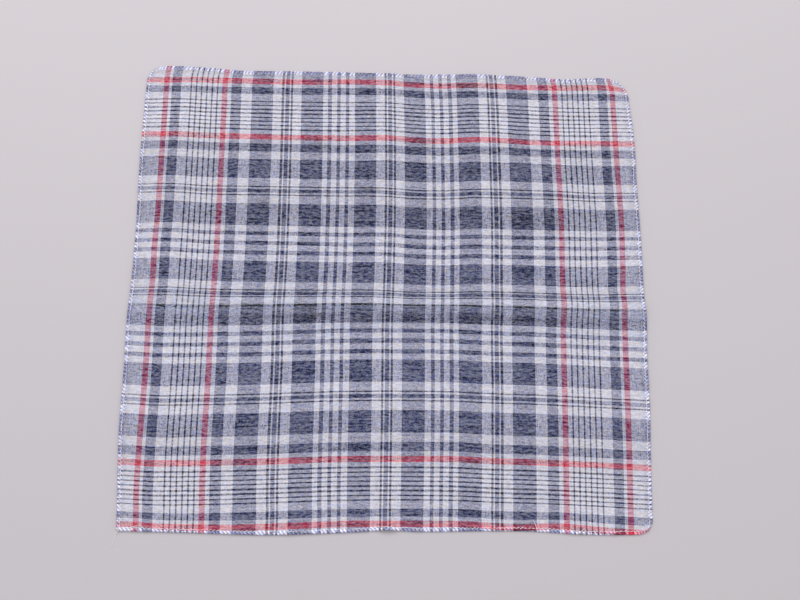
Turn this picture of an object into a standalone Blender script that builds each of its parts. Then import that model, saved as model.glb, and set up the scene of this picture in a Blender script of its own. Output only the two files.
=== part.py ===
"""A woven cotton handkerchief, opened out and lying on a flat surface.

One square of cloth with its turned hem is one sheet. It keeps the creases and low waves of a
cloth that was folded in four and then spread by hand, and it lies flat on z = 0 between them.
+X runs along the lower hem, +Y towards the upper hem and +Z up.
The origin is under the middle of the cloth's box.
"""

import math

import bmesh
import bpy

MM = 0.001

# Driving sizes, in millimetres.
HALF_WIDTH = 202.0
HALF_LENGTH = 199.5
CLOTH_THICKNESS = 1.0
HEM_THICKNESS = 1.6

# How far each edge lies outside its straight side, in millimetres.
# Each row is (place along the side, measured from its middle; distance outside).
LEFT_EDGE = (
    (-200, -1.4), (-150, 0.8), (-125, 2.0), (-75, 1.7), (-25, 2.0), (0, 0.7),
    (50, -0.1), (100, 0.6), (125, 0.6), (175, -0.5), (200, -1.1),
)
RIGHT_EDGE = (
    (-200, -3.2), (-150, -1.9), (-100, 0.1), (-50, 0.7), (-25, 2.0), (0, 1.2),
    (50, 1.5), (100, 0.9), (125, 1.3), (150, 0.5), (175, -1.1), (200, -2.6),
)
BOTTOM_EDGE = (
    (-200, 0.1), (-150, 0.8), (-100, 2.0), (-75, 1.6), (-25, -0.8), (0, -2.4),
    (25, -1.8), (100, -3.1), (150, -0.9), (175, -0.9), (200, -1.5),
)
TOP_EDGE = (
    (-200, 1.4), (-175, 2.0), (-150, 1.0), (-125, -1.0), (-50, -0.7), (0, -1.1),
    (25, -1.7), (50, -1.0), (100, -1.0), (150, -3.4), (175, -1.9), (200, -1.4),
)

# The radius of each corner, in millimetres: (side in x, side in y, radius).
CORNERS = (
    (-1, -1, 2.0),
    (1, -1, 12.0),
    (-1, 1, 14.0),
    (1, 1, 19.0),
)

# The folds that stand up from the surface, in millimetres. Each row is
# (name, start, end, height, width on its right, width on its left, fade at start, fade at end),
# where right and left are seen looking from start to end.
FOLDS = (
    ("centre crease", (-155, -14), (260, -14), 4.2, 17, 7, 110, 150),
    ("middle crease, upper", (4, 215), (3, 70), 2.0, 15, 8, 60, 60),
    ("middle crease, lower", (0, -130), (1, -212), 1.6, 11, 11, 45, 20),
    ("right wave", (66, 225), (102, 0), 2.6, 24, 22, 60, 60),
    ("left wave", (-176, 195), (-170, 35), 2.4, 18, 16, 60, 60),
    ("upper cross wave", (-160, 92), (195, 97), 1.8, 34, 28, 60, 60),
    ("lower cross wave", (-195, -88), (195, -85), 1.2, 22, 22, 60, 60),
    ("lower right wave", (50, -30), (47, -190), 1.3, 20, 20, 50, 50),
)
FOLD_BLEND = 3.0

# Where the sheet's rows and columns of points run, in millimetres.
# The first list is measured in from each edge, with the thickness of the cloth there.
RIM = ((0.0, 1.2), (1.2, HEM_THICKNESS), (2.4, 1.5), (3.6, CLOTH_THICKNESS))
CORNER_STEPS = (6.0, 9.5, 14.0, 19.5)
CREASE_ROWS = (-31.0, -25.0, -19.5, -16.5, -14.0, -12.0, -9.7, -7.0)
CREASE_COLUMNS = (-11.5, -6.0, -1.0, 3.5, 7.5, 12.0)
LARGEST_STEP = 11.5


def smooth_table(table, place):
    """Read a table of (place, value) rows as one smooth curve through all of them."""
    last = len(table) - 1
    if place <= table[0][0]:
        return table[0][1]
    if place >= table[last][0]:
        return table[last][1]
    row = max(i for i in range(last) if table[i][0] <= place)
    (x1, y1), (x2, y2) = table[row], table[row + 1]
    x0, y0 = table[max(row - 1, 0)]
    x3, y3 = table[min(row + 2, last)]
    span = x2 - x1
    slope1 = (y2 - y0) / (x2 - x0) * span
    slope2 = (y3 - y1) / (x3 - x1) * span
    t = (place - x1) / span
    return (
        (2 * t**3 - 3 * t**2 + 1) * y1
        + (t**3 - 2 * t**2 + t) * slope1
        + (3 * t**2 - 2 * t**3) * y2
        + (t**3 - t**2) * slope2
    )


def smooth_step(value):
    """Rise from 0 to 1 with level ends."""
    t = min(max(value, 0.0), 1.0)
    return t * t * (3 - 2 * t)


def round_corners(x, y):
    """Draw the points near a corner in, so that the outline turns there on its radius."""
    for side_x, side_y, radius in CORNERS:
        u = (x * side_x - HALF_WIDTH) / radius + 1
        v = (y * side_y - HALF_LENGTH) / radius + 1
        if u > 0 and v > 0:
            x += side_x * radius * u * (math.sqrt(1 - v * v / 2) - 1)
            y += side_y * radius * v * (math.sqrt(1 - u * u / 2) - 1)
            break
    return x, y


def lay_out(x, y):
    """Move a point of the straight square to where the uneven cloth lies."""
    x, y = round_corners(x, y)
    across = (x + HALF_WIDTH) / (2 * HALF_WIDTH)
    along = (y + HALF_LENGTH) / (2 * HALF_LENGTH)
    shift_x = across * smooth_table(RIGHT_EDGE, y) - (1 - across) * smooth_table(LEFT_EDGE, y)
    shift_y = along * smooth_table(TOP_EDGE, x) - (1 - along) * smooth_table(BOTTOM_EDGE, x)
    return x + shift_x, y + shift_y


def fold_height(fold, x, y):
    """The height of one fold over a point: a rounded ridge that fades out at both ends."""
    _name, start, end, height, width_right, width_left, fade_start, fade_end = fold
    run_x = end[0] - start[0]
    run_y = end[1] - start[1]
    length = math.hypot(run_x, run_y)
    along = ((x - start[0]) * run_x + (y - start[1]) * run_y) / length
    aside = ((y - start[1]) * run_x - (x - start[0]) * run_y) / length
    width = width_left if aside > 0 else width_right
    if abs(aside) >= width or not 0 < along < length:
        return 0.0
    fade = smooth_step(along / fade_start) * smooth_step((length - along) / fade_end)
    return height * fade * (0.5 + 0.5 * math.cos(math.pi * aside / width))


def lying_height(x, y):
    """The height of the cloth's underside, with crossing folds run into each other."""
    total = sum(fold_height(fold, x, y) ** FOLD_BLEND for fold in FOLDS)
    return total ** (1 / FOLD_BLEND)


def fill_steps(marks):
    """Add evenly spaced places wherever two marks are more than the largest step apart."""
    places = [marks[0]]
    for low, high in zip(marks, marks[1:]):
        count = math.ceil((high - low) / LARGEST_STEP)
        places += [low + (high - low) * step / count for step in range(1, count + 1)]
    return places


def grid_places(half, middle):
    """The places of the rows or columns, from one edge to the other."""
    inset = [distance for distance, _thickness in RIM] + list(CORNER_STEPS)
    low = [-half + distance for distance in inset]
    high = [half - distance for distance in reversed(inset)]
    return fill_steps(low + list(middle) + high)


def thickness_at(x, y):
    """The cloth's thickness: the turned hem is thicker than the single cloth inside it."""
    inset = min(HALF_WIDTH - abs(x), HALF_LENGTH - abs(y))
    for (near, thick_near), (far, thick_far) in zip(RIM, RIM[1:]):
        if inset < far:
            return thick_near + (thick_far - thick_near) * (inset - near) / (far - near)
    return CLOTH_THICKNESS


def cotton_material():
    """The cloth's mean colour: a matt blue-grey cotton."""
    material = bpy.data.materials.new("checked_cotton")
    material.use_nodes = True
    shader = material.node_tree.nodes["Principled BSDF"]
    shader.inputs["Base Color"].default_value = (0.33, 0.33, 0.42, 1.0)
    shader.inputs["Roughness"].default_value = 0.9
    shader.inputs["Metallic"].default_value = 0.0
    return material


def make_cloth(collection):
    """The square of cloth with its hem, as one closed sheet."""
    columns = grid_places(HALF_WIDTH, CREASE_COLUMNS)
    rows = grid_places(HALF_LENGTH, CREASE_ROWS)
    last_column = len(columns) - 1
    last_row = len(rows) - 1

    bm = bmesh.new()
    bmesh.ops.create_grid(bm, x_segments=last_column, y_segments=last_row, size=0.5)
    thicknesses = []
    for vertex in bm.verts:
        flat_x = columns[round((vertex.co.x + 0.5) * last_column)]
        flat_y = rows[round((vertex.co.y + 0.5) * last_row)]
        thicknesses.append(thickness_at(flat_x, flat_y))
        x, y = lay_out(flat_x, flat_y)
        vertex.co = (x * MM, y * MM, lying_height(x, y) * MM)
    mesh = bpy.data.meshes.new("handkerchief_cloth")
    bm.to_mesh(mesh)
    bm.free()

    cloth = bpy.data.objects.new("handkerchief_cloth", mesh)
    collection.objects.link(cloth)
    group = cloth.vertex_groups.new(name="thickness")
    for index, thickness in enumerate(thicknesses):
        group.add([index], thickness / HEM_THICKNESS, "REPLACE")
    mesh.materials.append(cotton_material())
    mesh.shade_smooth()

    # The underside stays where the points are, and the thickness is laid on above it.
    solidify = cloth.modifiers.new("cloth thickness", "SOLIDIFY")
    solidify.thickness = HEM_THICKNESS * MM
    solidify.offset = 1.0
    solidify.vertex_group = group.name
    solidify.thickness_vertex_group = 0.0
    return cloth


def main():
    """Clear the scene and build the handkerchief."""
    for old in list(bpy.data.objects):
        bpy.data.objects.remove(old)
    collection = bpy.data.collections.new("handkerchief")
    bpy.context.scene.collection.children.link(collection)
    make_cloth(collection)


main()
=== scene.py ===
"""The looks of a checked cotton handkerchief that lies opened out on a pale floor."""

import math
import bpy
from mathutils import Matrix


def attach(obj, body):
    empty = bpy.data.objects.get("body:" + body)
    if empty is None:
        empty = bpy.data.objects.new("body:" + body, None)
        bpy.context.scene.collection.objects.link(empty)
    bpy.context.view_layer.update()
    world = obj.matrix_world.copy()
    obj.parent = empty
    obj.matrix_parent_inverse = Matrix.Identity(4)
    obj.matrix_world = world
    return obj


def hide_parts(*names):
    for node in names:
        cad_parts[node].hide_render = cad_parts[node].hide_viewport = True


bl_info = {
    "name": "Checked handkerchief",
    "version": (1, 0, 0),
    "blender": (4, 5, 0),
    "location": "3D View > Sidebar > Handkerchief",
    "description": "Builds a lying cotton handkerchief with its check, hem and sewing",
    "category": "Object",
}

import bmesh
import bpy
from mathutils import Matrix, Vector, noise

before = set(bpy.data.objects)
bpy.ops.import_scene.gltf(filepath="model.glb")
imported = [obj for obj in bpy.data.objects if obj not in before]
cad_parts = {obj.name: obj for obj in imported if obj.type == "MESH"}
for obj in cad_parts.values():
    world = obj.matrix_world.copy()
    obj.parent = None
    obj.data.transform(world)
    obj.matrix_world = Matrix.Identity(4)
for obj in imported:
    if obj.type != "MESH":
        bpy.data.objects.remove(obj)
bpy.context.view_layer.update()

MM = 0.001
CLOTH_NODE = "handkerchief_cloth"
SEAM_PITCH = 3.0 * MM

# The cloth as it lies, in millimetres: the same sizes and folds as the solid has.
HALF_WIDTH = 202.0
HALF_LENGTH = 199.5

# Each row is (place along the side, measured from its middle; distance outside it).
LEFT_EDGE = (
    (-200, -1.4), (-150, 0.8), (-125, 2.0), (-75, 1.7), (-25, 2.0), (0, 0.7),
    (50, -0.1), (100, 0.6), (125, 0.6), (175, -0.5), (200, -1.1),
)
RIGHT_EDGE = (
    (-200, -3.2), (-150, -1.9), (-100, 0.1), (-50, 0.7), (-25, 2.0), (0, 1.2),
    (50, 1.5), (100, 0.9), (125, 1.3), (150, 0.5), (175, -1.1), (200, -2.6),
)
BOTTOM_EDGE = (
    (-200, 0.1), (-150, 0.8), (-100, 2.0), (-75, 1.6), (-25, -0.8), (0, -2.4),
    (25, -1.8), (100, -3.1), (150, -0.9), (175, -0.9), (200, -1.5),
)
TOP_EDGE = (
    (-200, 1.4), (-175, 2.0), (-150, 1.0), (-125, -1.0), (-50, -0.7), (0, -1.1),
    (25, -1.7), (50, -1.0), (100, -1.0), (150, -3.4), (175, -1.9), (200, -1.4),
)

# Each row is (side in x, side in y, radius).
CORNERS = (
    (-1, -1, 2.0),
    (1, -1, 12.0),
    (-1, 1, 14.0),
    (1, 1, 19.0),
)

# Each row is (name, start, end, height, width on its right, width on its left,
# fade at start, fade at end), where right and left are seen looking from start to end.
FOLDS = (
    ("centre crease", (-155, -14), (260, -14), 4.2, 17, 7, 110, 150),
    ("middle crease, upper", (4, 215), (3, 70), 2.0, 15, 8, 60, 60),
    ("middle crease, lower", (0, -130), (1, -212), 1.6, 11, 11, 45, 20),
    ("right wave", (66, 225), (102, 0), 2.6, 24, 22, 60, 60),
    ("left wave", (-176, 195), (-170, 35), 2.4, 18, 16, 60, 60),
    ("upper cross wave", (-160, 92), (195, 97), 1.8, 34, 28, 60, 60),
    ("lower cross wave", (-195, -88), (195, -85), 1.2, 22, 22, 60, 60),
    ("lower right wave", (50, -30), (47, -190), 1.3, 20, 20, 50, 50),
)
FOLD_BLEND = 3.0

# Small creases that only the finished cloth has, in the same columns.
SMALL_CREASES = (
    ("crease shoulder, left", (-130, -24), (-20, -22), 0.7, 4, 3, 40, 30),
    ("crease shoulder, middle", (-60, -27), (60, -24), 0.8, 4, 3, 30, 40),
    ("crease shoulder, right", (30, -21), (170, -26), 0.7, 4, 3, 40, 40),
    ("band crinkle 1", (-92, -19), (-58, -25), 0.6, 3, 3, 12, 14),
    ("band crinkle 2", (-30, -25), (18, -18), 0.6, 3, 3, 16, 14),
    ("band crinkle 3", (52, -25), (92, -17), 0.7, 3, 3, 14, 14),
    ("band crinkle 4", (104, -18), (128, -29), 0.6, 3, 3, 8, 10),
    ("band crinkle 5", (150, -20), (188, -30), 0.6, 3, 3, 12, 14),
    ("above the crease, left", (-150, -1), (-10, 0), 0.5, 4, 5, 50, 50),
    ("above the crease, right", (-10, 2), (180, -1), 0.6, 4, 5, 50, 60),
    ("pressed middle line", (-1, 200), (-2, -200), 0.45, 2.6, 2.6, 10, 10),
)

# How the check lies along the ground, in millimetres.
# Each row is (place across; how far the rows stand above their true place below the crease).
ROW_BOW = (
    (-200, 1.8), (-170, 0.8), (-100, 3.0), (-30, 6.2), (45, 7.0), (80, 5.8), (120, 5.0), (200, 1.6),
)
# Above the crease the rows ripple across the cloth and from top to bottom.
ROW_RIPPLE = (
    (-200, 0), (-172, 1), (-145, 0), (-40, 0), (-3, 0.8), (21, -0.8), (45, -1.2), (70, 0.6),
    (95, 0.6), (150, -0.8), (200, -0.8),
)
ROW_STEP = (
    (-8, 0.4), (16, -1.2), (34, -0.9), (56, -0.85), (75, 0.4), (110, 0.2), (130, -0.2), (180, 0.5),
)
# How much of the bow is left at each height across the centre crease.
CREASE_SHARE = ((-29, 1.0), (-13, 0.65), (-7.5, 0.29), (-1.5, 0.17), (5, 0.0))
# Each row is (height on the cloth; drift of the columns at left, in the middle and at right).
COLUMN_DRIFT = (
    (-190, -1.7, -2.6, -3.8), (-140, -2.8, -1.9, -2.5), (-75, -2.1, -1.4, -1.1),
    (-45, -2.0, -1.4, -0.6), (-28, -2.0, -1.3, 0.1), (-11, -1.5, -0.8, 1.5), (5, -0.9, -0.3, 0.9),
    (60, -0.2, 0.7, 1.9), (120, 0.0, 0.8, 1.2), (190, 0.2, 0.2, 0.7),
)
# Soft local pulls in the cloth: (place, reach across, reach along, pull to +X, pull to +Y).
PULLS = (
    ((-180, 45), 40, 45, 0.1, 1.0),
    ((205, 15), 28, 60, 0, 1.8),
    ((165, 40), 30, 25, -0.2, 0.6),
    ((135, 145), 35, 35, 0, -0.8),
    ((135, 80), 22, 25, 0, 0.7),
    ((90, 187), 25, 12, -0.4, -0.8),
    ((-35, 187), 22, 12, 0, 0.9),
    ((-32, 120), 25, 22, 0, -0.7),
    ((10, 85), 25, 25, 0, -0.6),
    ((90, 35), 25, 28, 0, -0.8),
    ((10, -4), 22, 16, 0, -0.9),
    ((-110, 0), 45, 14, 0, -0.5),
    ((-110, 40), 45, 20, 0.2, 0.5),
    ((-106, -65), 30, 30, 0.4, -0.3),
    ((-183, -80), 22, 50, 0.3, -0.3),
    ((0, -131), 260, 12, 0, -0.75),
    ((0, -52), 260, 10, 0, -0.35),
    ((0, -13), 260, 3, 0, 0.3),
    ((65, -165), 45, 45, -0.8, 0),
    ((60, -192), 60, 16, -0.2, 0.6),
    ((0, -196), 260, 10, 0, 0.45),
    ((132, -196), 22, 12, 0, 1.8),
    ((140, -183), 60, 9, 0, 0.4),
    ((98, -196), 17, 12, 0, -0.8),
    ((-30, -196), 25, 10, 0, 0.4),
    ((-65, -190), 50, 20, 0.8, 0.3),
    ((-178, -198), 50, 11, 0, 2.2),
    ((-192, -196), 20, 12, 0, 1.9),
    ((-186, -172), 14, 20, -0.7, 0),
    ((195, -5), 25, 20, -1.2, 0),
    ((-188, 35), 18, 20, -0.7, 0),
    ((192, -120), 22, 70, 0.4, 0),
    ((175, 100), 25, 22, 0, -0.6),
    ((-150, 82), 25, 25, 0, -0.6),
    ((-195, 30), 20, 15, 0, 0.5),
    ((-192, 118), 20, 14, 0, 0.6),
    ((180, 190), 22, 12, 0, 1.0),
    ((100, 187), 40, 12, 0, -0.6),
    ((120, 190), 16, 12, 0, -0.5),
    ((-180, 188), 14, 10, 0, -1.4),
    ((110, 141), 16, 16, 0, -0.6),
    ((-74, 141), 26, 16, 0, -0.4),
    ((50, -131), 24, 16, 0, 0.4),
    ((-70, 32), 30, 14, 0, 0.35),
    ((38, 187), 20, 12, -0.7, 0),
    ((75, -110), 20, 20, -0.3, 0),
)
DRIFT_REACH = 150.0
CHECK_CENTRE = (0.7, -5.45)
# The columns lean aside where they run into the upper hem: (place across; shift at the edge).
TOP_LEAN = (
    (-195, 1.2), (-150, 1.9), (-110, 1.2), (-60, 0.2), (0, -0.3), (50, -0.9), (110, -1.3),
    (160, -1.5), (195, -1.8),
)
LEAN_REACH = 12.0

# Painted light and shade of the cloth's rows: (place of the row on the straight square, tone).
ROW_LIGHT_AND_SHADE = (
    (-200, 1.18), (-197, 1.16), (-193, 1.06), (-175, 1.09), (-160, 1.11), (-145, 1.03),
    (-127, 0.97), (-112, 1.08), (-95, 1.05), (-70, 1.06), (-45, 1.03), (-25, 0.98), (-10, 0.97),
    (2, 0.98), (16, 1.03), (45, 1.01), (58, 0.94), (82, 0.96), (105, 0.98), (124, 0.91),
    (137, 0.99), (151, 1.08), (165, 1.03), (174, 0.97), (182, 0.96), (190, 0.95), (193.5, 0.95),
    (195.2, 0.92), (196.4, 1.2), (198.0, 0.98), (199.5, 0.92),
)
# Places where the navy is darker, and painted shade of the crinkles below the centre crease:
# (place, reach across, reach along, depth).
DARK_PATCHES_AND_CRINKLE_SHADE = (
    ((112, 62), 13, 11, 0.2),
    ((134, 62), 7, 8, 0.2),
    ((-100, 73), 7, 7, 0.2),
    ((-57, 130), 9, 7, 0.2),
    ((28, 130), 9, 7, 0.2),
    ((-16, 90), 9, 4, 0.15),
    ((-18, 88.5), 8, 1.3, 0.5),
    ((27, 72), 8, 6, 0.15),
    ((-67, -19.2), 7, 1.0, 0.55),
    ((-58, -17.2), 4, 1.0, 0.55),
    ((-62, -25), 6, 1.0, 0.5),
    ((-56, -23.2), 4, 1.0, 0.5),
    ((-102, -19.5), 5, 1.0, 0.5),
    ((80, -24.5), 8, 1.0, 0.4),
    ((86, -20), 6, 1.0, 0.4),
)

# Where the cloth's own mesh is closer round the centre crease and the middle crease.
CREASE_ROWS = [-31 + 1.1 * step for step in range(32)]
CREASE_COLUMNS = (-6.0, -3.5, -1.8, 0.2, 2.5, 5.0)
# How high the rim of the hem is rounded up from below, and over what distance, in millimetres.
EDGE_ROLL = 0.12
EDGE_ROLL_REACH = 0.3

# The camera, in metres and degrees, where the photograph was taken from.
CAMERA_PLACE = (-0.0345, -0.5518, 1.2223)
CAMERA_TURN = (23.93, -2.06, 0.02)
# The lamp and the floor, in metres.
LAMP_PLACE = (-0.2, 1.4, 1.35)
LAMP_SIZE = 1.1
FLOOR_SIZE = 14.0

# The check, as thread counts from its centre line to the edge: N navy, W white, R red and
# D the thin lines, which are of a deeper navy.
WARP_DRAFT = (
    "N3.5 W4 D3 W19 N43 W13 N6 W12 N6 W12 N7 W11 N44 W19 D3 W4 N7 W4 D4 W19 N43 W23 N20 W9 "
    "R10 W8 " + "D3.2 W7.8 " * 5 + "D3.2 W19.8 N18 W7 R10"
)
WEFT_DRAFT = (
    "N4 W3 D3 W18 N46 W13 N9 W12 N9 W13 N9 W13 N47 W18 D3 W4 N8 W4 D3 W18 N45 W18 N19 W9.1 "
    "R12.7 W9.6 " + "D3.4 W5.8 " * 7 + "D3.4 W15.6 N16 W8.1 R13.2"
)
# Each yarn has (draft, threads in a streak, length of a streak in metres, unevenness).
WARP_YARN = (WARP_DRAFT, 2.2, 10 * MM, 0.45)
WEFT_YARN = (WEFT_DRAFT, 5.5, 45 * MM, 1.1)
# The weft threads at the centre crease, as (middle, reach) from the check's centre: the navy
# band below it, with its wear, painted shade and painted highlight, and the fold itself.
CREASE_BAND = (-51.0, 23.5)
FOLD_THREADS = (-30.5, 3.0)


class ClothSettings(bpy.types.PropertyGroup):
    """Sizes and colours of the woven cloth."""

    thickness: bpy.props.FloatProperty(
        name="Cloth thickness", description="Thickness of the single cloth",
        default=0.35 * MM, unit="LENGTH",
    )
    hem_thickness: bpy.props.FloatProperty(
        name="Hem thickness", description="Thickness of the turned hem",
        default=1.2 * MM, unit="LENGTH",
    )
    hem_width: bpy.props.FloatProperty(
        name="Hem width", description="Width of the turned hem",
        default=3.2 * MM, unit="LENGTH",
    )
    thread_pitch: bpy.props.FloatProperty(
        name="Thread pitch", description="Distance from one woven thread to the next",
        default=0.4 * MM, unit="LENGTH",
    )
    mesh_step: bpy.props.FloatProperty(
        name="Mesh step", description="Largest distance between points of the cloth",
        default=2.3 * MM, unit="LENGTH",
    )
    white: bpy.props.FloatVectorProperty(
        name="White yarn", description="Colour of the white yarn",
        subtype="COLOR", size=3, min=0, max=1, default=(0.63, 0.615, 0.69),
    )
    navy: bpy.props.FloatVectorProperty(
        name="Navy yarn", description="Colour of the navy yarn",
        subtype="COLOR", size=3, min=0, max=1, default=(0.075, 0.081, 0.147),
    )
    red: bpy.props.FloatVectorProperty(
        name="Red weft", description="Colour of the red yarn in the rows",
        subtype="COLOR", size=3, min=0, max=1, default=(0.545, 0.06, 0.078),
    )
    red_warp: bpy.props.FloatVectorProperty(
        name="Red warp", description="Colour of the red yarn in the columns",
        subtype="COLOR", size=3, min=0, max=1, default=(0.46, 0.075, 0.125),
    )


class SewingSettings(bpy.types.PropertyGroup):
    """Sizes and colour of the hem's sewing thread."""

    pitch: bpy.props.FloatProperty(
        name="Stitch pitch", description="Distance from one stitch to the next",
        default=SEAM_PITCH, unit="LENGTH",
    )
    length: bpy.props.FloatProperty(
        name="Stitch length", description="Length of the thread that shows at each stitch",
        default=3.2 * MM, unit="LENGTH",
    )
    inset: bpy.props.FloatProperty(
        name="Seam inset", description="Distance of the seam from the cloth's edge",
        default=2.3 * MM, unit="LENGTH",
    )
    thread: bpy.props.FloatProperty(
        name="Thread width", description="Diameter of the sewing thread",
        default=0.6 * MM, unit="LENGTH",
    )
    colour: bpy.props.FloatVectorProperty(
        name="Thread colour", description="Colour of the sewing thread",
        subtype="COLOR", size=3, min=0, max=1, default=(0.90, 0.92, 0.97),
    )


class StageSettings(bpy.types.PropertyGroup):
    """The floor, the light and the camera."""

    floor: bpy.props.FloatVectorProperty(
        name="Floor colour", description="Colour of the pale floor",
        subtype="COLOR", size=3, min=0, max=1, default=(0.62, 0.58, 0.605),
    )
    sky: bpy.props.FloatProperty(
        name="Sky strength", description="Strength of the even light from all round",
        default=0.69,
    )
    lamp: bpy.props.FloatProperty(
        name="Lamp power", description="Power of the large soft lamp",
        default=20.5, unit="POWER",
    )
    lens: bpy.props.FloatProperty(
        name="Lens", description="Focal length of the camera on a 36 mm wide sensor",
        default=76.28, unit="CAMERA",
    )


class Signal:
    """An output of a shader node. Python arithmetic on it adds Math nodes."""

    def __init__(self, shader, output):
        self.shader = shader
        self.output = output

    def maths(self, operation, *values):
        inputs = {index: value for index, value in enumerate(values)}
        return self.shader.node("ShaderNodeMath", {"operation": operation}, inputs)

    def __add__(self, other):
        return self.maths("ADD", self, other)

    def __sub__(self, other):
        return self.maths("SUBTRACT", self, other)

    def __rsub__(self, other):
        return self.maths("SUBTRACT", other, self)

    def __mul__(self, other):
        return self.maths("MULTIPLY", self, other)

    def __truediv__(self, other):
        return self.maths("DIVIDE", self, other)

    def __abs__(self):
        return self.maths("ABSOLUTE", self)

    __radd__ = __add__
    __rmul__ = __mul__

    def floor(self):
        return self.maths("FLOOR", self)

    def sine(self):
        return self.maths("SINE", self)

    def cycle(self, length):
        return self.maths("FLOORED_MODULO", self, length)

    def within(self, middle, reach):
        return self.maths("COMPARE", self, middle, reach)

    def spread(self, low, high):
        """Stretch the values from low to high over the whole range from 0 to 1, softly."""
        inputs = {"Value": self, "From Min": low, "From Max": high}
        settings = {"interpolation_type": "SMOOTHSTEP"}
        return self.shader.node("ShaderNodeMapRange", settings, inputs)


class Shader:
    """A material's node tree, with its Principled shader at the end."""

    def __init__(self, name):
        self.material = bpy.data.materials.new(name)
        self.material.use_nodes = True
        self.tree = self.material.node_tree
        self.surface = self.tree.nodes["Principled BSDF"]

    def node(self, kind, settings, inputs, output=0):
        """Add a node, set it up, give its sockets their values or links, and return an output."""
        node = self.tree.nodes.new(kind)
        for name, value in settings.items():
            setattr(node, name, value)
        for key, value in inputs.items():
            self.give(node.inputs[key], value)
        return Signal(self, node.outputs[output])

    def give(self, socket, value):
        if isinstance(value, Signal):
            self.tree.links.new(value.output, socket)
        else:
            socket.default_value = value

    def set(self, **values):
        """Set or link sockets of the Principled shader, with _ for each space in a name."""
        for name, value in values.items():
            self.give(self.surface.inputs[name.replace("_", " ")], value)

    def vector(self, x, y, z=0.0):
        return self.node("ShaderNodeCombineXYZ", {}, {0: x, 1: y, 2: z})

    def split(self, vector):
        node = self.tree.nodes.new("ShaderNodeSeparateXYZ")
        self.give(node.inputs[0], vector)
        return [Signal(self, output) for output in node.outputs]

    def mix(self, amount, first, second, blend="MIX"):
        settings = {"data_type": "RGBA", "blend_type": blend}
        return self.node("ShaderNodeMix", settings, {0: amount, 6: first, 7: second}, 2)

    def shade(self, colour, tone):
        """A colour made lighter or darker by a signal."""
        return self.mix(1.0, colour, self.vector(tone, tone, tone), "MULTIPLY")

    def tint(self, colour, factors, amount=1.0):
        """A colour multiplied by three factors, as far as the amount says."""
        return self.mix(amount, colour, opaque(factors), "MULTIPLY")

    def gamma(self, colour, power):
        return self.node("ShaderNodeGamma", {}, {"Color": colour, "Gamma": power})

    def bump(self, height, strength, distance):
        inputs = {"Strength": strength, "Distance": distance, "Height": height}
        return self.node("ShaderNodeBump", {}, inputs)

    def noise(self, vector, scale, detail=2.0, roughness=0.5):
        inputs = {"Vector": vector, "Scale": scale, "Detail": detail, "Roughness": roughness}
        return self.node("ShaderNodeTexNoise", {"noise_dimensions": "3D"}, inputs)


def opaque(colour):
    """A colour with its alpha, as a shader socket takes it."""
    return (*colour, 1.0)


def draft_bands(draft, letter):
    """The bands of one colour in a draft, as (middle, half width) in threads from the centre."""
    bands = []
    place = 0.0
    for run in draft.split():
        count = float(run[1:])
        if run[0] == letter:
            bands.append((place + count / 2, count / 2))
        place += count
    return bands


def yarn_mask(place, draft, letter):
    """1 on the threads of one colour, 0 on the others."""
    total = 0.0
    for middle, half in draft_bands(draft, letter):
        total = place.within(middle, half) + total
    return total


def tinted(colour, *factors):
    """A colour made lighter or darker, by one factor or by one for each of its parts."""
    return opaque([part * factor for part, factor in zip(colour, factors * 3)])


def yarn_colour(shader, thread, along, yarn, red_yarn, settings):
    """The colour of one set of threads, which vary in tone along their length."""
    draft, streak_threads, streak_length, unevenness = yarn
    place = abs(thread + 0.5)
    navy = yarn_mask(place, draft, "N")
    line = yarn_mask(place, draft, "D")
    red = yarn_mask(place, draft, "R")
    # Neighbouring threads vary together, so that the streaks are a few threads thick.
    spot = shader.vector(thread / streak_threads, along / streak_length)
    slub = shader.noise(spot, 1.0, 2.0, 0.6).spread(0.34, 0.58)
    tone = (slub - 0.5) * unevenness
    pale = shader.shade(opaque(settings.white), 1.0 + tone * 0.07)
    deep = shader.mix(tone + 0.5, tinted(settings.navy, 0.0, 0.06, 0.3),
                      tinted(settings.navy, 1.9, 1.84, 1.6))
    deep = shader.mix(line, deep, tinted(settings.navy, 0.33))
    madder = shader.shade(opaque(red_yarn), 0.97 + tone * 0.8)
    colour = shader.mix(navy + line, pale, deep)
    return shader.mix(red, colour, madder), slub


def crossing_colour(shader, warp, weft, share, contrast):
    """The colour of the cloth where a thread of the warp crosses one of the weft."""
    woven = shader.mix(share, weft, warp)
    seen_through = shader.gamma(shader.mix(1.0, warp, weft, "MULTIPLY"), 0.5)
    cloth = shader.mix(0.3, woven, seen_through)
    # Where a pale thread crosses a dark one the cloth looks a little bluer.
    return shader.tint(cloth, (1.0, 1.0, 1.1), contrast)


def crumples(shader, across, along, weft_thread):
    """How crumpled the band below the centre crease is, and how far down that reaches."""
    crumpled = shader.noise(shader.vector(across * 450.0, along * 800.0), 1.0, 3.0, 0.6)
    crumpled = crumpled.spread(0.5, 0.66)
    lower = weft_thread.within(*CREASE_BAND) * (weft_thread + crumpled * 8.0).spread(-39.0, -53.0)
    return crumpled, lower


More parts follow.
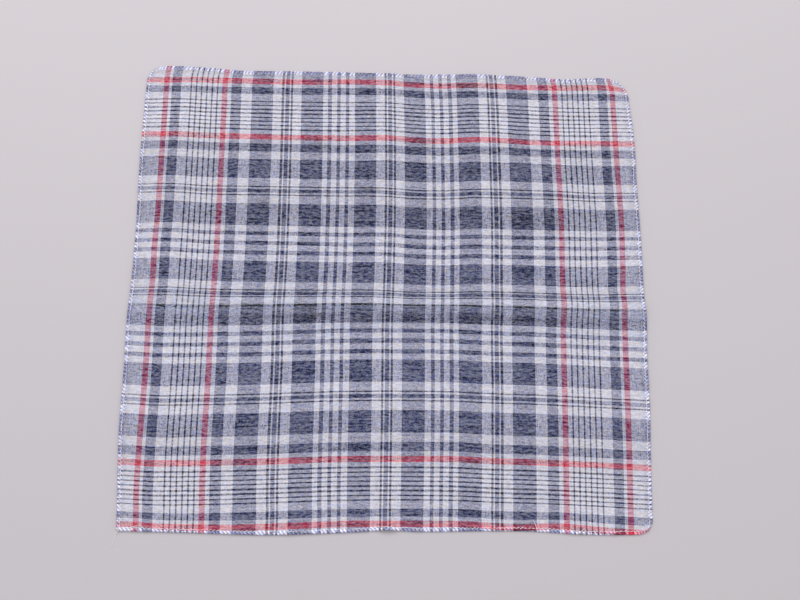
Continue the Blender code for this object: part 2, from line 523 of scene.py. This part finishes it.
def crease_wear_and_shade(shader, cloth, weft_thread, crumpled, lower, speckle, along):
    """The centre crease's wear, with painted shade and a painted highlight.

    Wear has darkened the navy band below it in its crumples, together with painted shade there;
    painted shade is deepest along the fold itself, and the cloth next to the fold has a pale
    painted highlight.
    """
    brightness, _, _ = shader.split(cloth)
    dark = brightness.spread(0.26, 0.10)
    fold = weft_thread.within(*FOLD_THREADS)
    # Painted highlight on the rows beside the fold, where its crest catches the light.
    crest_highlight = weft_thread.within(*CREASE_BAND) * weft_thread.spread(-56.0, -42.0)
    cloth = shader.mix(crest_highlight, cloth, opaque((0.06, 0.063, 0.075)), "ADD")
    # Painted shade along the fold, and in the crumples below it wear and painted shade together.
    wear_and_shade = 1.0 - fold * (0.2 + dark * 0.62) - lower * crumpled * (0.2 + dark * 0.4)
    wear_and_shade = wear_and_shade + dark * (speckle - 0.5) * 0.6 - dark * along.spread(10.0 * MM, 60.0 * MM) * 0.09
    cloth = shader.shade(cloth, wear_and_shade)
    return shader.tint(cloth, (1.12, 1.03, 0.93), lower * dark * 0.4)


def mottled(shader, cloth, weave, across, along):
    """Fuzz and unevenly dyed places mottle every colour alike."""
    hue = shader.noise(weave, 260.0, 2.0, 0.6).spread(0.35, 0.65)
    hue = shader.mix(hue, opaque((0.95, 0.99, 1.08)), opaque((1.05, 1.01, 0.93)))
    cloth = shader.mix(1.0, cloth, hue, "MULTIPLY")
    grain = shader.noise(shader.vector(across * 240.0, along * 640.0), 1.0, 3.0, 0.65)
    grain = grain.spread(0.32, 0.68)
    cloud = shader.noise(weave, 55.0, 3.0, 0.5)
    mottle = grain * 0.62 + cloud * 0.38
    return shader.mix(0.15, cloth, shader.vector(mottle, mottle, mottle), "LINEAR_LIGHT")


def turned_hem(shader, cloth, turned, inset, drawn):
    """The hem's layers, drawn in between the stitches, and the shade that they throw."""
    cloth = shader.shade(cloth, 1.0 - inset.spread(7.5 * MM, 4.0 * MM) * 0.1)
    close = shader.tint(shader.gamma(cloth, 1.45), (1.54, 1.56, 1.64))
    depth = 0.95 + drawn * 0.38
    close = shader.mix(1.0, close, shader.vector(depth, depth, depth * 0.6 + 0.4), "MULTIPLY")
    return shader.mix(turned, cloth, close)


def checked_cotton(settings):
    """Plain-woven cotton: the check as threads, with slubs, speckle and a fine raised weave."""
    shader = Shader("checked_cotton")
    weave = shader.node("ShaderNodeUVMap", {"uv_map": "weave"}, {})
    hem_map = shader.node("ShaderNodeUVMap", {"uv_map": "hem"}, {})
    laid_shade_and_tone = shader.node("ShaderNodeAttribute", {"attribute_name": "tone"}, {}, 2)
    across, along, _ = shader.split(weave)
    inset, edgeways, _ = shader.split(hem_map)
    speckle = shader.noise(weave, 800.0, 2.0, 0.6).spread(0.35, 0.65)

    warp_place = across / settings.thread_pitch
    weft_place = along / settings.thread_pitch
    warp_thread = warp_place.floor()
    weft_thread = weft_place.floor()
    warp, warp_slub = yarn_colour(
        shader, warp_thread, along, WARP_YARN, settings.red_warp, settings
    )
    weft, weft_slub = yarn_colour(shader, weft_thread, across, WEFT_YARN, settings.red, settings)
    warp_red, _, _ = shader.split(warp)
    weft_red, _, _ = shader.split(weft)

    # In a plain weave each thread goes over one and under the next.
    over = (warp_thread + weft_thread).cycle(2.0)
    share = 0.30 + (over - 0.5) * 0.24 + warp_slub * 0.25 - weft_slub * 0.15 + speckle * 0.32
    # The pale threads lie fuller over the dark columns.
    pale = warp_red - 0.63
    share = share + pale * 0.09 - pale * (speckle - 0.5) * 0.5
    cloth = crossing_colour(shader, warp, weft, share, abs(warp_red - weft_red))
    # The rows' painted light and shade and the dark places, carried by the mesh.
    cloth = shader.shade(cloth, laid_shade_and_tone * (0.90 + speckle * 0.16))
    # Near the centre crease the pale columns are greyer: painted shade beside the crease.
    near = abs(weft_thread + 45.0).spread(75.0, 35.0) * warp_red.spread(0.3, 0.55)
    cloth = shader.tint(cloth, (0.93, 0.95, 0.985), near)
    crumpled, lower = crumples(shader, across, along, weft_thread)
    cloth = crease_wear_and_shade(shader, cloth, weft_thread, crumpled, lower, speckle, along)
    cloth = mottled(shader, cloth, weave, across, along)

    turned = inset.maths("LESS_THAN", inset, settings.hem_width)
    wander = shader.noise(weave, 180.0, 1.0)
    drawn = ((edgeways + inset * 0.7 + wander * 1.5 * MM) * (2 * math.pi / SEAM_PITCH)).sine()
    cloth = turned_hem(shader, cloth, turned, inset, drawn)

    bulge = (warp_place * math.pi).sine() * (weft_place * math.pi).sine()
    crease = shader.noise(weave, 150.0, 3.0, 0.55)
    height = abs(bulge) * 0.25 + (warp_slub + weft_slub) * 0.3 + crease * 1.1
    height = height + turned * drawn * 0.9 - lower * crumpled * 1.5
    shader.set(
        Base_Color=cloth,
        Roughness=0.8 + speckle * 0.12,
        Specular_IOR_Level=0.25,
        Sheen_Weight=0.12,
        Sheen_Roughness=0.6,
        Normal=shader.bump(height, 0.55, 0.25 * MM),
    )
    return shader.material


def sewing_thread(settings):
    """Twisted white cotton thread."""
    shader = Shader("white_sewing_thread")
    place = shader.node("ShaderNodeTexCoord", {}, {}, "Object")
    x, y, z = shader.split(place)
    twist = ((x + y + z) * 9000.0).sine()
    tone = shader.noise(place, 400.0)
    shader.set(
        Base_Color=shader.mix(tone, tinted(settings.colour, 0.8), opaque(settings.colour)),
        Roughness=0.65 + tone * 0.15,
        Sheen_Weight=0.2,
        Normal=shader.bump(twist, 0.4, 0.05 * MM),
    )
    return shader.material


def pale_floor(settings):
    """A plain pale floor with a very faint cloudiness."""
    shader = Shader("pale_floor")
    place = shader.node("ShaderNodeTexCoord", {}, {}, "Object")
    tone = shader.noise(place, 3.0)
    shader.set(
        Base_Color=shader.mix(tone, tinted(settings.floor, 0.97), opaque(settings.floor)),
        Roughness=0.85,
        Specular_IOR_Level=0.2,
    )
    return shader.material


def smooth_table(table, place, column=1):
    """Read a column of a table as one smooth curve over its first column."""
    last = len(table) - 1
    if place <= table[0][0]:
        return table[0][column]
    if place >= table[last][0]:
        return table[last][column]
    row = max(i for i in range(last) if table[i][0] <= place)
    x1, y1 = table[row][0], table[row][column]
    x2, y2 = table[row + 1][0], table[row + 1][column]
    x0, y0 = table[max(row - 1, 0)][0], table[max(row - 1, 0)][column]
    x3, y3 = table[min(row + 2, last)][0], table[min(row + 2, last)][column]
    span = x2 - x1
    slope1 = (y2 - y0) / (x2 - x0) * span
    slope2 = (y3 - y1) / (x3 - x1) * span
    t = (place - x1) / span
    return (
        (2 * t**3 - 3 * t**2 + 1) * y1
        + (t**3 - 2 * t**2 + t) * slope1
        + (3 * t**2 - 2 * t**3) * y2
        + (t**3 - t**2) * slope2
    )


def smooth_step(value):
    """Rise from 0 to 1 with level ends."""
    t = min(max(value, 0.0), 1.0)
    return t * t * (3 - 2 * t)


def round_corners(x, y):
    """Draw the points near a corner in, so that the outline turns there on its radius."""
    for side_x, side_y, radius in CORNERS:
        u = (x * side_x - HALF_WIDTH) / radius + 1
        v = (y * side_y - HALF_LENGTH) / radius + 1
        if u > 0 and v > 0:
            x += side_x * radius * u * (math.sqrt(1 - v * v / 2) - 1)
            y += side_y * radius * v * (math.sqrt(1 - u * u / 2) - 1)
            break
    return x, y


def lay_out(x, y):
    """Move a point of the straight square to where the uneven cloth lies."""
    x, y = round_corners(x, y)
    across = (x + HALF_WIDTH) / (2 * HALF_WIDTH)
    along = (y + HALF_LENGTH) / (2 * HALF_LENGTH)
    shift_x = across * smooth_table(RIGHT_EDGE, y) - (1 - across) * smooth_table(LEFT_EDGE, y)
    shift_y = along * smooth_table(TOP_EDGE, x) - (1 - along) * smooth_table(BOTTOM_EDGE, x)
    return x + shift_x, y + shift_y


def fold_height(fold, x, y):
    """The height of one fold over a point: a rounded ridge that fades out at both ends."""
    _name, start, end, height, width_right, width_left, fade_start, fade_end = fold
    run_x = end[0] - start[0]
    run_y = end[1] - start[1]
    length = math.hypot(run_x, run_y)
    along = ((x - start[0]) * run_x + (y - start[1]) * run_y) / length
    aside = ((y - start[1]) * run_x - (x - start[0]) * run_y) / length
    width = width_left if aside > 0 else width_right
    if abs(aside) >= width or not 0 < along < length:
        return 0.0
    fade = smooth_step(along / fade_start) * smooth_step((length - along) / fade_end)
    return height * fade * (0.5 + 0.5 * math.cos(math.pi * aside / width))


def lying_height(x, y):
    """The height of the cloth's underside over the floor."""
    total = sum(fold_height(fold, x, y) ** FOLD_BLEND for fold in FOLDS)
    small = sum(fold_height(crease, x, y) for crease in SMALL_CREASES)
    ripple = 0.25 * noise.noise((x / 23, y / 23, 0.5)) + 0.14 * noise.noise((x / 9, y / 9, 4.5))
    inset = edge_inset(x, y)
    pucker = 0.45 * math.exp(-inset / 7) * noise.noise((x / 10, y / 10, 9.5))
    curl = 0.35 * math.exp(-inset / 4) + 0.6 * math.exp(-max(HALF_WIDTH - abs(x), 0) / 4)
    return max(total ** (1 / FOLD_BLEND) + small + ripple + pucker, 0.0) + curl


def edge_inset(x, y):
    """How far a point of the straight square lies inside its nearest edge."""
    return max(min(HALF_WIDTH - abs(x), HALF_LENGTH - abs(y)), 0.0)


def local_pull(x, y):
    """How far the soft local pulls move the check at a place."""
    pull_x = pull_y = 0.0
    for (place_x, place_y), reach_x, reach_y, most_x, most_y in PULLS:
        share = math.exp(-(((x - place_x) / reach_x) ** 2) - ((y - place_y) / reach_y) ** 2)
        pull_x += most_x * share
        pull_y += most_y * share
    return pull_x, pull_y


def cloth_shade_and_tone(x, y, row):
    """Painted light and shade at a place of one of the cloth's rows: it is uneven from row to row.
    """
    tone = smooth_table(ROW_LIGHT_AND_SHADE, row)
    for (place_x, place_y), reach_x, reach_y, depth in DARK_PATCHES_AND_CRINKLE_SHADE:
        tone -= depth * math.exp(-(((x - place_x) / reach_x) ** 2) - ((y - place_y) / reach_y) ** 2)
    return tone


def check_place(x, y, z):
    """The check was measured along the floor, so the place is first carried down to the floor
    along the line from the camera.
    """
    eye_x, eye_y, eye_z = (value / MM for value in CAMERA_PLACE)
    stretch = eye_z / (eye_z - z)
    ground_x = eye_x + (x - eye_x) * stretch
    ground_y = eye_y + (y - eye_y) * stretch

    left, middle, right = (smooth_table(COLUMN_DRIFT, ground_y, column) for column in (1, 2, 3))
    t = ground_x / DRIFT_REACH
    drift_x = middle + (right - left) / 2 * t + ((left + right) / 2 - middle) * min(t * t, 1.2)

    share = smooth_table(CREASE_SHARE, ground_y)
    above = smooth_table(ROW_RIPPLE, ground_x) + smooth_table(ROW_STEP, ground_y)
    drift_y = share * smooth_table(ROW_BOW, ground_x) + (1 - share) * above

    pull_x, pull_y = local_pull(ground_x, ground_y)
    return (
        ground_x - CHECK_CENTRE[0] - drift_x - pull_x,
        ground_y - CHECK_CENTRE[1] - drift_y - pull_y,
    )


def hem_profile(settings):
    """Rows of the hem: (inset, thickness), in millimetres, from the fold to the single cloth."""
    width = settings.hem_width / MM
    thick = settings.hem_thickness / MM
    single = settings.thickness / MM
    return (
        (0.0, 0.4 * thick), (0.12, 0.66 * thick), (0.35, 0.88 * thick), (0.8, thick),
        (0.5 * width, 0.93 * thick), (0.75 * width, 0.78 * thick), (width - 0.4, 0.62 * thick),
        (width + 0.3, single * 1.3), (width + 1.0, single),
    )


def fill_steps(marks, step):
    """Add evenly spaced places wherever two marks are more than one step apart."""
    places = [marks[0]]
    for low, high in zip(marks, marks[1:]):
        count = math.ceil((high - low) / step)
        places += [low + (high - low) * part / count for part in range(1, count + 1)]
    return places


def grid_places(half, middle, settings):
    """The places of the rows or columns, from one edge to the other."""
    inset = [distance for distance, _thickness in hem_profile(settings)] + [5.5]
    low = [-half + distance for distance in inset]
    high = [half - distance for distance in reversed(inset)]
    return fill_steps(low + list(middle) + high, settings.mesh_step / MM)


def table_value(table, place):
    """Read a table of (place, value) rows along straight lines."""
    for (near, value_near), (far, value_far) in zip(table, table[1:]):
        if place < far:
            return value_near + (value_far - value_near) * (place - near) / (far - near)
    return table[-1][1]


def edge_place(flat_x, flat_y):
    """How far along its nearest edge a point of the straight square lies."""
    if HALF_WIDTH - abs(flat_x) < HALF_LENGTH - abs(flat_y):
        return flat_y
    return flat_x


def activate(obj):
    """Make one object the selected and active one."""
    bpy.ops.object.select_all(action="DESELECT")
    obj.select_set(True)
    bpy.context.view_layer.objects.active = obj


class HANDKERCHIEF_OT_cloth(bpy.types.Operator):
    """Lay out the checked cloth with its turned hem and its creases"""

    bl_idname = "handkerchief.cloth"
    bl_label = "Checked cloth"

    def execute(self, context):
        settings = context.scene.handkerchief_cloth
        columns = grid_places(HALF_WIDTH, CREASE_COLUMNS, settings)
        rows = grid_places(HALF_LENGTH, CREASE_ROWS, settings)
        bpy.ops.object.select_all(action="DESELECT")
        bpy.ops.mesh.primitive_grid_add(
            x_subdivisions=len(columns) - 1, y_subdivisions=len(rows) - 1, size=1.0
        )
        cloth = context.active_object
        cloth.name = cloth.data.name = "checked_cloth"

        profile = hem_profile(settings)
        group = cloth.vertex_groups.new(name="thickness")
        places = []
        hem_places = []
        shade_and_tone_values = []
        for vertex in cloth.data.vertices:
            flat_x = columns[round((vertex.co.x + 0.5) * (len(columns) - 1))]
            flat_y = rows[round((vertex.co.y + 0.5) * (len(rows) - 1))]
            inset = edge_inset(flat_x, flat_y)
            thickness = table_value(profile, inset)
            group.add([vertex.index], thickness * MM / settings.hem_thickness, "REPLACE")
            x, y = lay_out(flat_x, flat_y)
            z = lying_height(x, y) + EDGE_ROLL * max(1 - inset / EDGE_ROLL_REACH, 0)
            # The check follows the cloth round a drawn-in corner, and leans at the upper hem.
            drawn_x, drawn_y = round_corners(flat_x, flat_y)
            lean = max(1 - (HALF_LENGTH - flat_y) / LEAN_REACH, 0) ** 1.7
            place = check_place(
                x + flat_x - drawn_x - lean * smooth_table(TOP_LEAN, flat_x),
                y + flat_y - drawn_y,
                z + thickness,
            )
            places.append([value * MM for value in place])
            shade_and_tone_values.append(cloth_shade_and_tone(x, y, flat_y))
            hem_places.append((inset * MM, edge_place(flat_x, flat_y) * MM))
            vertex.co = (x * MM, y * MM, z * MM)

        # The "tone" attribute carries the rows' painted light and shade and the dark places.
        cloth.data.attributes.new("tone", "FLOAT", "POINT")
        cloth.data.attributes["tone"].data.foreach_set("value", shade_and_tone_values)
        cloth.data.uv_layers[0].name = "weave"
        cloth.data.uv_layers.new(name="hem")
        weave = cloth.data.uv_layers["weave"]
        hem = cloth.data.uv_layers["hem"]
        for loop in cloth.data.loops:
            weave.data[loop.index].uv = places[loop.vertex_index]
            hem.data[loop.index].uv = hem_places[loop.vertex_index]

        activate(cloth)
        solidify = cloth.modifiers.new("cloth thickness", "SOLIDIFY")
        solidify.thickness = settings.hem_thickness
        solidify.offset = 1.0
        solidify.vertex_group = group.name
        solidify.thickness_vertex_group = 0.0
        bpy.ops.object.modifier_apply(modifier=solidify.name)
        bpy.ops.object.shade_smooth()
        cloth.vertex_groups.clear()
        cloth.data.materials.append(checked_cotton(settings))
        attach(cloth, "root")
        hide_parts(CLOTH_NODE)
        return {"FINISHED"}


def seam_points(settings, cloth):
    """The stitches' places round the cloth: (x, y, z, direction, size), in millimetres.

    The stitches along the upper hem are sunk deeper and so look smaller.
    """
    inset = settings.inset / MM
    pitch = settings.pitch / MM
    top = cloth.hem_thickness / MM * 0.93
    half_x = HALF_WIDTH - inset
    half_y = HALF_LENGTH - inset
    sides = (
        ((-half_x, -half_y), (half_x, -half_y), 1.0),
        ((half_x, -half_y), (half_x, half_y), 1.0),
        ((half_x, half_y), (-half_x, half_y), 0.4),
        ((-half_x, half_y), (-half_x, -half_y), 1.0),
    )
    points = []
    for (x0, y0), (x1, y1), size in sides:
        length = math.hypot(x1 - x0, y1 - y0)
        count = round(length / pitch)
        for step in range(count):
            t = (step + 0.5) / count
            ends = []
            for part in (t - 0.5 / count, t + 0.5 / count):
                ends.append(lay_out(x0 + (x1 - x0) * part, y0 + (y1 - y0) * part))
            x = (ends[0][0] + ends[1][0]) / 2
            y = (ends[0][1] + ends[1][1]) / 2
            turn = math.atan2(ends[1][1] - ends[0][1], ends[1][0] - ends[0][0])
            points.append((x, y, lying_height(x, y) + top, turn, size))
    return points


class HANDKERCHIEF_OT_sewing(bpy.types.Operator):
    """Sew the hem with short stitches and leave the thread's loose end at the corner"""

    bl_idname = "handkerchief.sewing"
    bl_label = "Hem sewing"

    def execute(self, context):
        settings = context.scene.handkerchief_sewing
        cloth = context.scene.handkerchief_cloth
        thread = settings.thread

        bpy.ops.object.select_all(action="DESELECT")
        bpy.ops.mesh.primitive_uv_sphere_add(segments=6, ring_count=6, radius=0.5)
        stitch = context.active_object
        for vertex in stitch.data.vertices:
            x, y, z = vertex.co
            # The ball's pole axis becomes the stitch's length, and its ends dip into the cloth.
            dip = -thread * (2 * z) ** 4
            vertex.co = (z * settings.length, x * thread, y * thread + dip)

        bm = bmesh.new()
        for number, (x, y, z, turn, size) in enumerate(seam_points(settings, cloth)):
            lean = 0.15 + 0.6 * noise.noise((number * 0.73, 1.5, 0.5))
            aside = 0.5 * noise.noise((number * 0.31, 5.5, 0.5))
            size *= 1 + 0.35 * noise.noise((number * 0.57, 8.5, 0.5))
            place = Vector((
                x - aside * math.sin(turn), y + aside * math.cos(turn), z + thread * 0.15 / MM
            )) * MM
            matrix = Matrix.Translation(place) @ Matrix.Rotation(turn + lean, 4, "Z")
            matrix = matrix @ Matrix.Scale(size, 4)
            start = len(bm.verts)
            bm.from_mesh(stitch.data)
            bm.verts.ensure_lookup_table()
            bmesh.ops.transform(bm, matrix=matrix, verts=bm.verts[start:])
        bm.to_mesh(stitch.data)
        bm.free()
        stitch.name = stitch.data.name = "hem_stitches"

        strands = [loose_end(context, thread * 0.7, route) for route in LOOSE_ENDS]
        activate(stitch)
        for strand in strands:
            strand.select_set(True)
        bpy.ops.object.join()
        bpy.ops.object.shade_smooth()
        stitch.data.materials.clear()
        stitch.data.materials.append(sewing_thread(settings))
        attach(stitch, "root")
        return {"FINISHED"}


# The routes of the loose threads, (x, y, z) in millimetres: the end that lies on the floor by
# the lower left corner, two frayed ends over the hem beside it, and a stray end near the right.
LOOSE_ENDS = (
    (
        (-198.0, -196.8, 1.3), (-199.4, -198.6, 1.2), (-200.3, -201.1, 0.4),
        (-201.4, -204.2, 0.22), (-202.4, -207.2, 0.22), (-203.2, -211.0, 0.22),
    ),
    (
        (-198.6, -198.2, 1.2), (-193.0, -197.6, 1.3), (-188.0, -196.6, 1.5),
        (-185.2, -195.0, 1.3), (-182.8, -195.2, 1.3), (-180.4, -197.4, 1.3), (-178.8, -198.8, 1.2),
    ),
    (
        (-197.0, -198.9, 1.0), (-192.0, -198.6, 1.2), (-187.6, -197.3, 1.6),
        (-184.4, -196.2, 1.5), (-181.5, -197.0, 1.2),
    ),
    ((109.1, -188.0, 0.9), (110.1, -190.2, 1.1), (111.0, -192.6, 1.1), (111.6, -195.6, 1.2)),
)


def loose_end(context, thread, route):
    """One loose end of the sewing thread."""
    data = bpy.data.curves.new("loose_thread", "CURVE")
    data.dimensions = "3D"
    data.bevel_depth = thread / 2
    data.bevel_resolution = 2
    data.resolution_u = 4
    data.use_fill_caps = True
    spline = data.splines.new("NURBS")
    spline.points.add(len(route) - 1)
    for point, place in zip(spline.points, route):
        point.co = (*(value * MM for value in place), 1.0)
    spline.use_endpoint_u = True
    spline.order_u = 3
    end = bpy.data.objects.new("loose_thread", data)
    context.collection.objects.link(end)
    activate(end)
    bpy.ops.object.convert(target="MESH")
    return end


class HANDKERCHIEF_OT_stage(bpy.types.Operator):
    """Add the pale floor, the soft light and the camera"""

    bl_idname = "handkerchief.stage"
    bl_label = "Stage"

    def execute(self, context):
        settings = context.scene.handkerchief_stage
        scene = context.scene

        bpy.ops.object.select_all(action="DESELECT")
        bpy.ops.mesh.primitive_plane_add(size=FLOOR_SIZE, location=(0, 0, 0))
        floor = context.active_object
        floor.name = "floor"
        floor.data.materials.append(pale_floor(settings))

        world = bpy.data.worlds.new("soft sky")
        world.use_nodes = True
        background = world.node_tree.nodes["Background"]
        background.inputs["Color"].default_value = (0.97, 0.98, 1.0, 1.0)
        background.inputs["Strength"].default_value = settings.sky
        scene.world = world

        lamp_data = bpy.data.lights.new("soft lamp", "AREA")
        lamp_data.energy = settings.lamp
        lamp_data.size = LAMP_SIZE
        lamp = bpy.data.objects.new("soft lamp", lamp_data)
        lamp.location = LAMP_PLACE
        lamp.rotation_euler = (-lamp.location).to_track_quat("-Z", "Y").to_euler()
        scene.collection.objects.link(lamp)

        camera_data = bpy.data.cameras.new("camera")
        camera_data.sensor_width = 36.0
        camera_data.lens = settings.lens
        camera = bpy.data.objects.new("camera", camera_data)
        camera.location = CAMERA_PLACE
        camera.rotation_euler = [math.radians(angle) for angle in CAMERA_TURN]
        scene.collection.objects.link(camera)
        scene.camera = camera
        scene.view_settings.view_transform = "Standard"
        return {"FINISHED"}


class HANDKERCHIEF_PT_panel(bpy.types.Panel):
    """The handkerchief's pieces and their settings"""

    bl_label = "Handkerchief"
    bl_space_type = "VIEW_3D"
    bl_region_type = "UI"
    bl_category = "Handkerchief"

    def draw(self, context):
        scene = context.scene
        for operator, settings in (
            (HANDKERCHIEF_OT_cloth, scene.handkerchief_cloth),
            (HANDKERCHIEF_OT_sewing, scene.handkerchief_sewing),
            (HANDKERCHIEF_OT_stage, scene.handkerchief_stage),
        ):
            box = self.layout.box()
            box.operator(operator.bl_idname)
            for name in settings.__annotations__:
                box.prop(settings, name)


CLASSES = (
    ClothSettings,
    SewingSettings,
    StageSettings,
    HANDKERCHIEF_OT_cloth,
    HANDKERCHIEF_OT_sewing,
    HANDKERCHIEF_OT_stage,
    HANDKERCHIEF_PT_panel,
)


def register():
    """Register the classes and hang the settings on the scene."""
    for kind in CLASSES:
        bpy.utils.register_class(kind)
    bpy.types.Scene.handkerchief_cloth = bpy.props.PointerProperty(type=ClothSettings)
    bpy.types.Scene.handkerchief_sewing = bpy.props.PointerProperty(type=SewingSettings)
    bpy.types.Scene.handkerchief_stage = bpy.props.PointerProperty(type=StageSettings)


def unregister():
    """Take the settings and the classes away again."""
    del bpy.types.Scene.handkerchief_stage
    del bpy.types.Scene.handkerchief_sewing
    del bpy.types.Scene.handkerchief_cloth
    for kind in reversed(CLASSES):
        bpy.utils.unregister_class(kind)


def main():
    """Build every piece and the stage."""
    register()
    bpy.ops.handkerchief.cloth()
    bpy.ops.handkerchief.sewing()
    bpy.ops.handkerchief.stage()


if __name__ == "__main__":
    main()
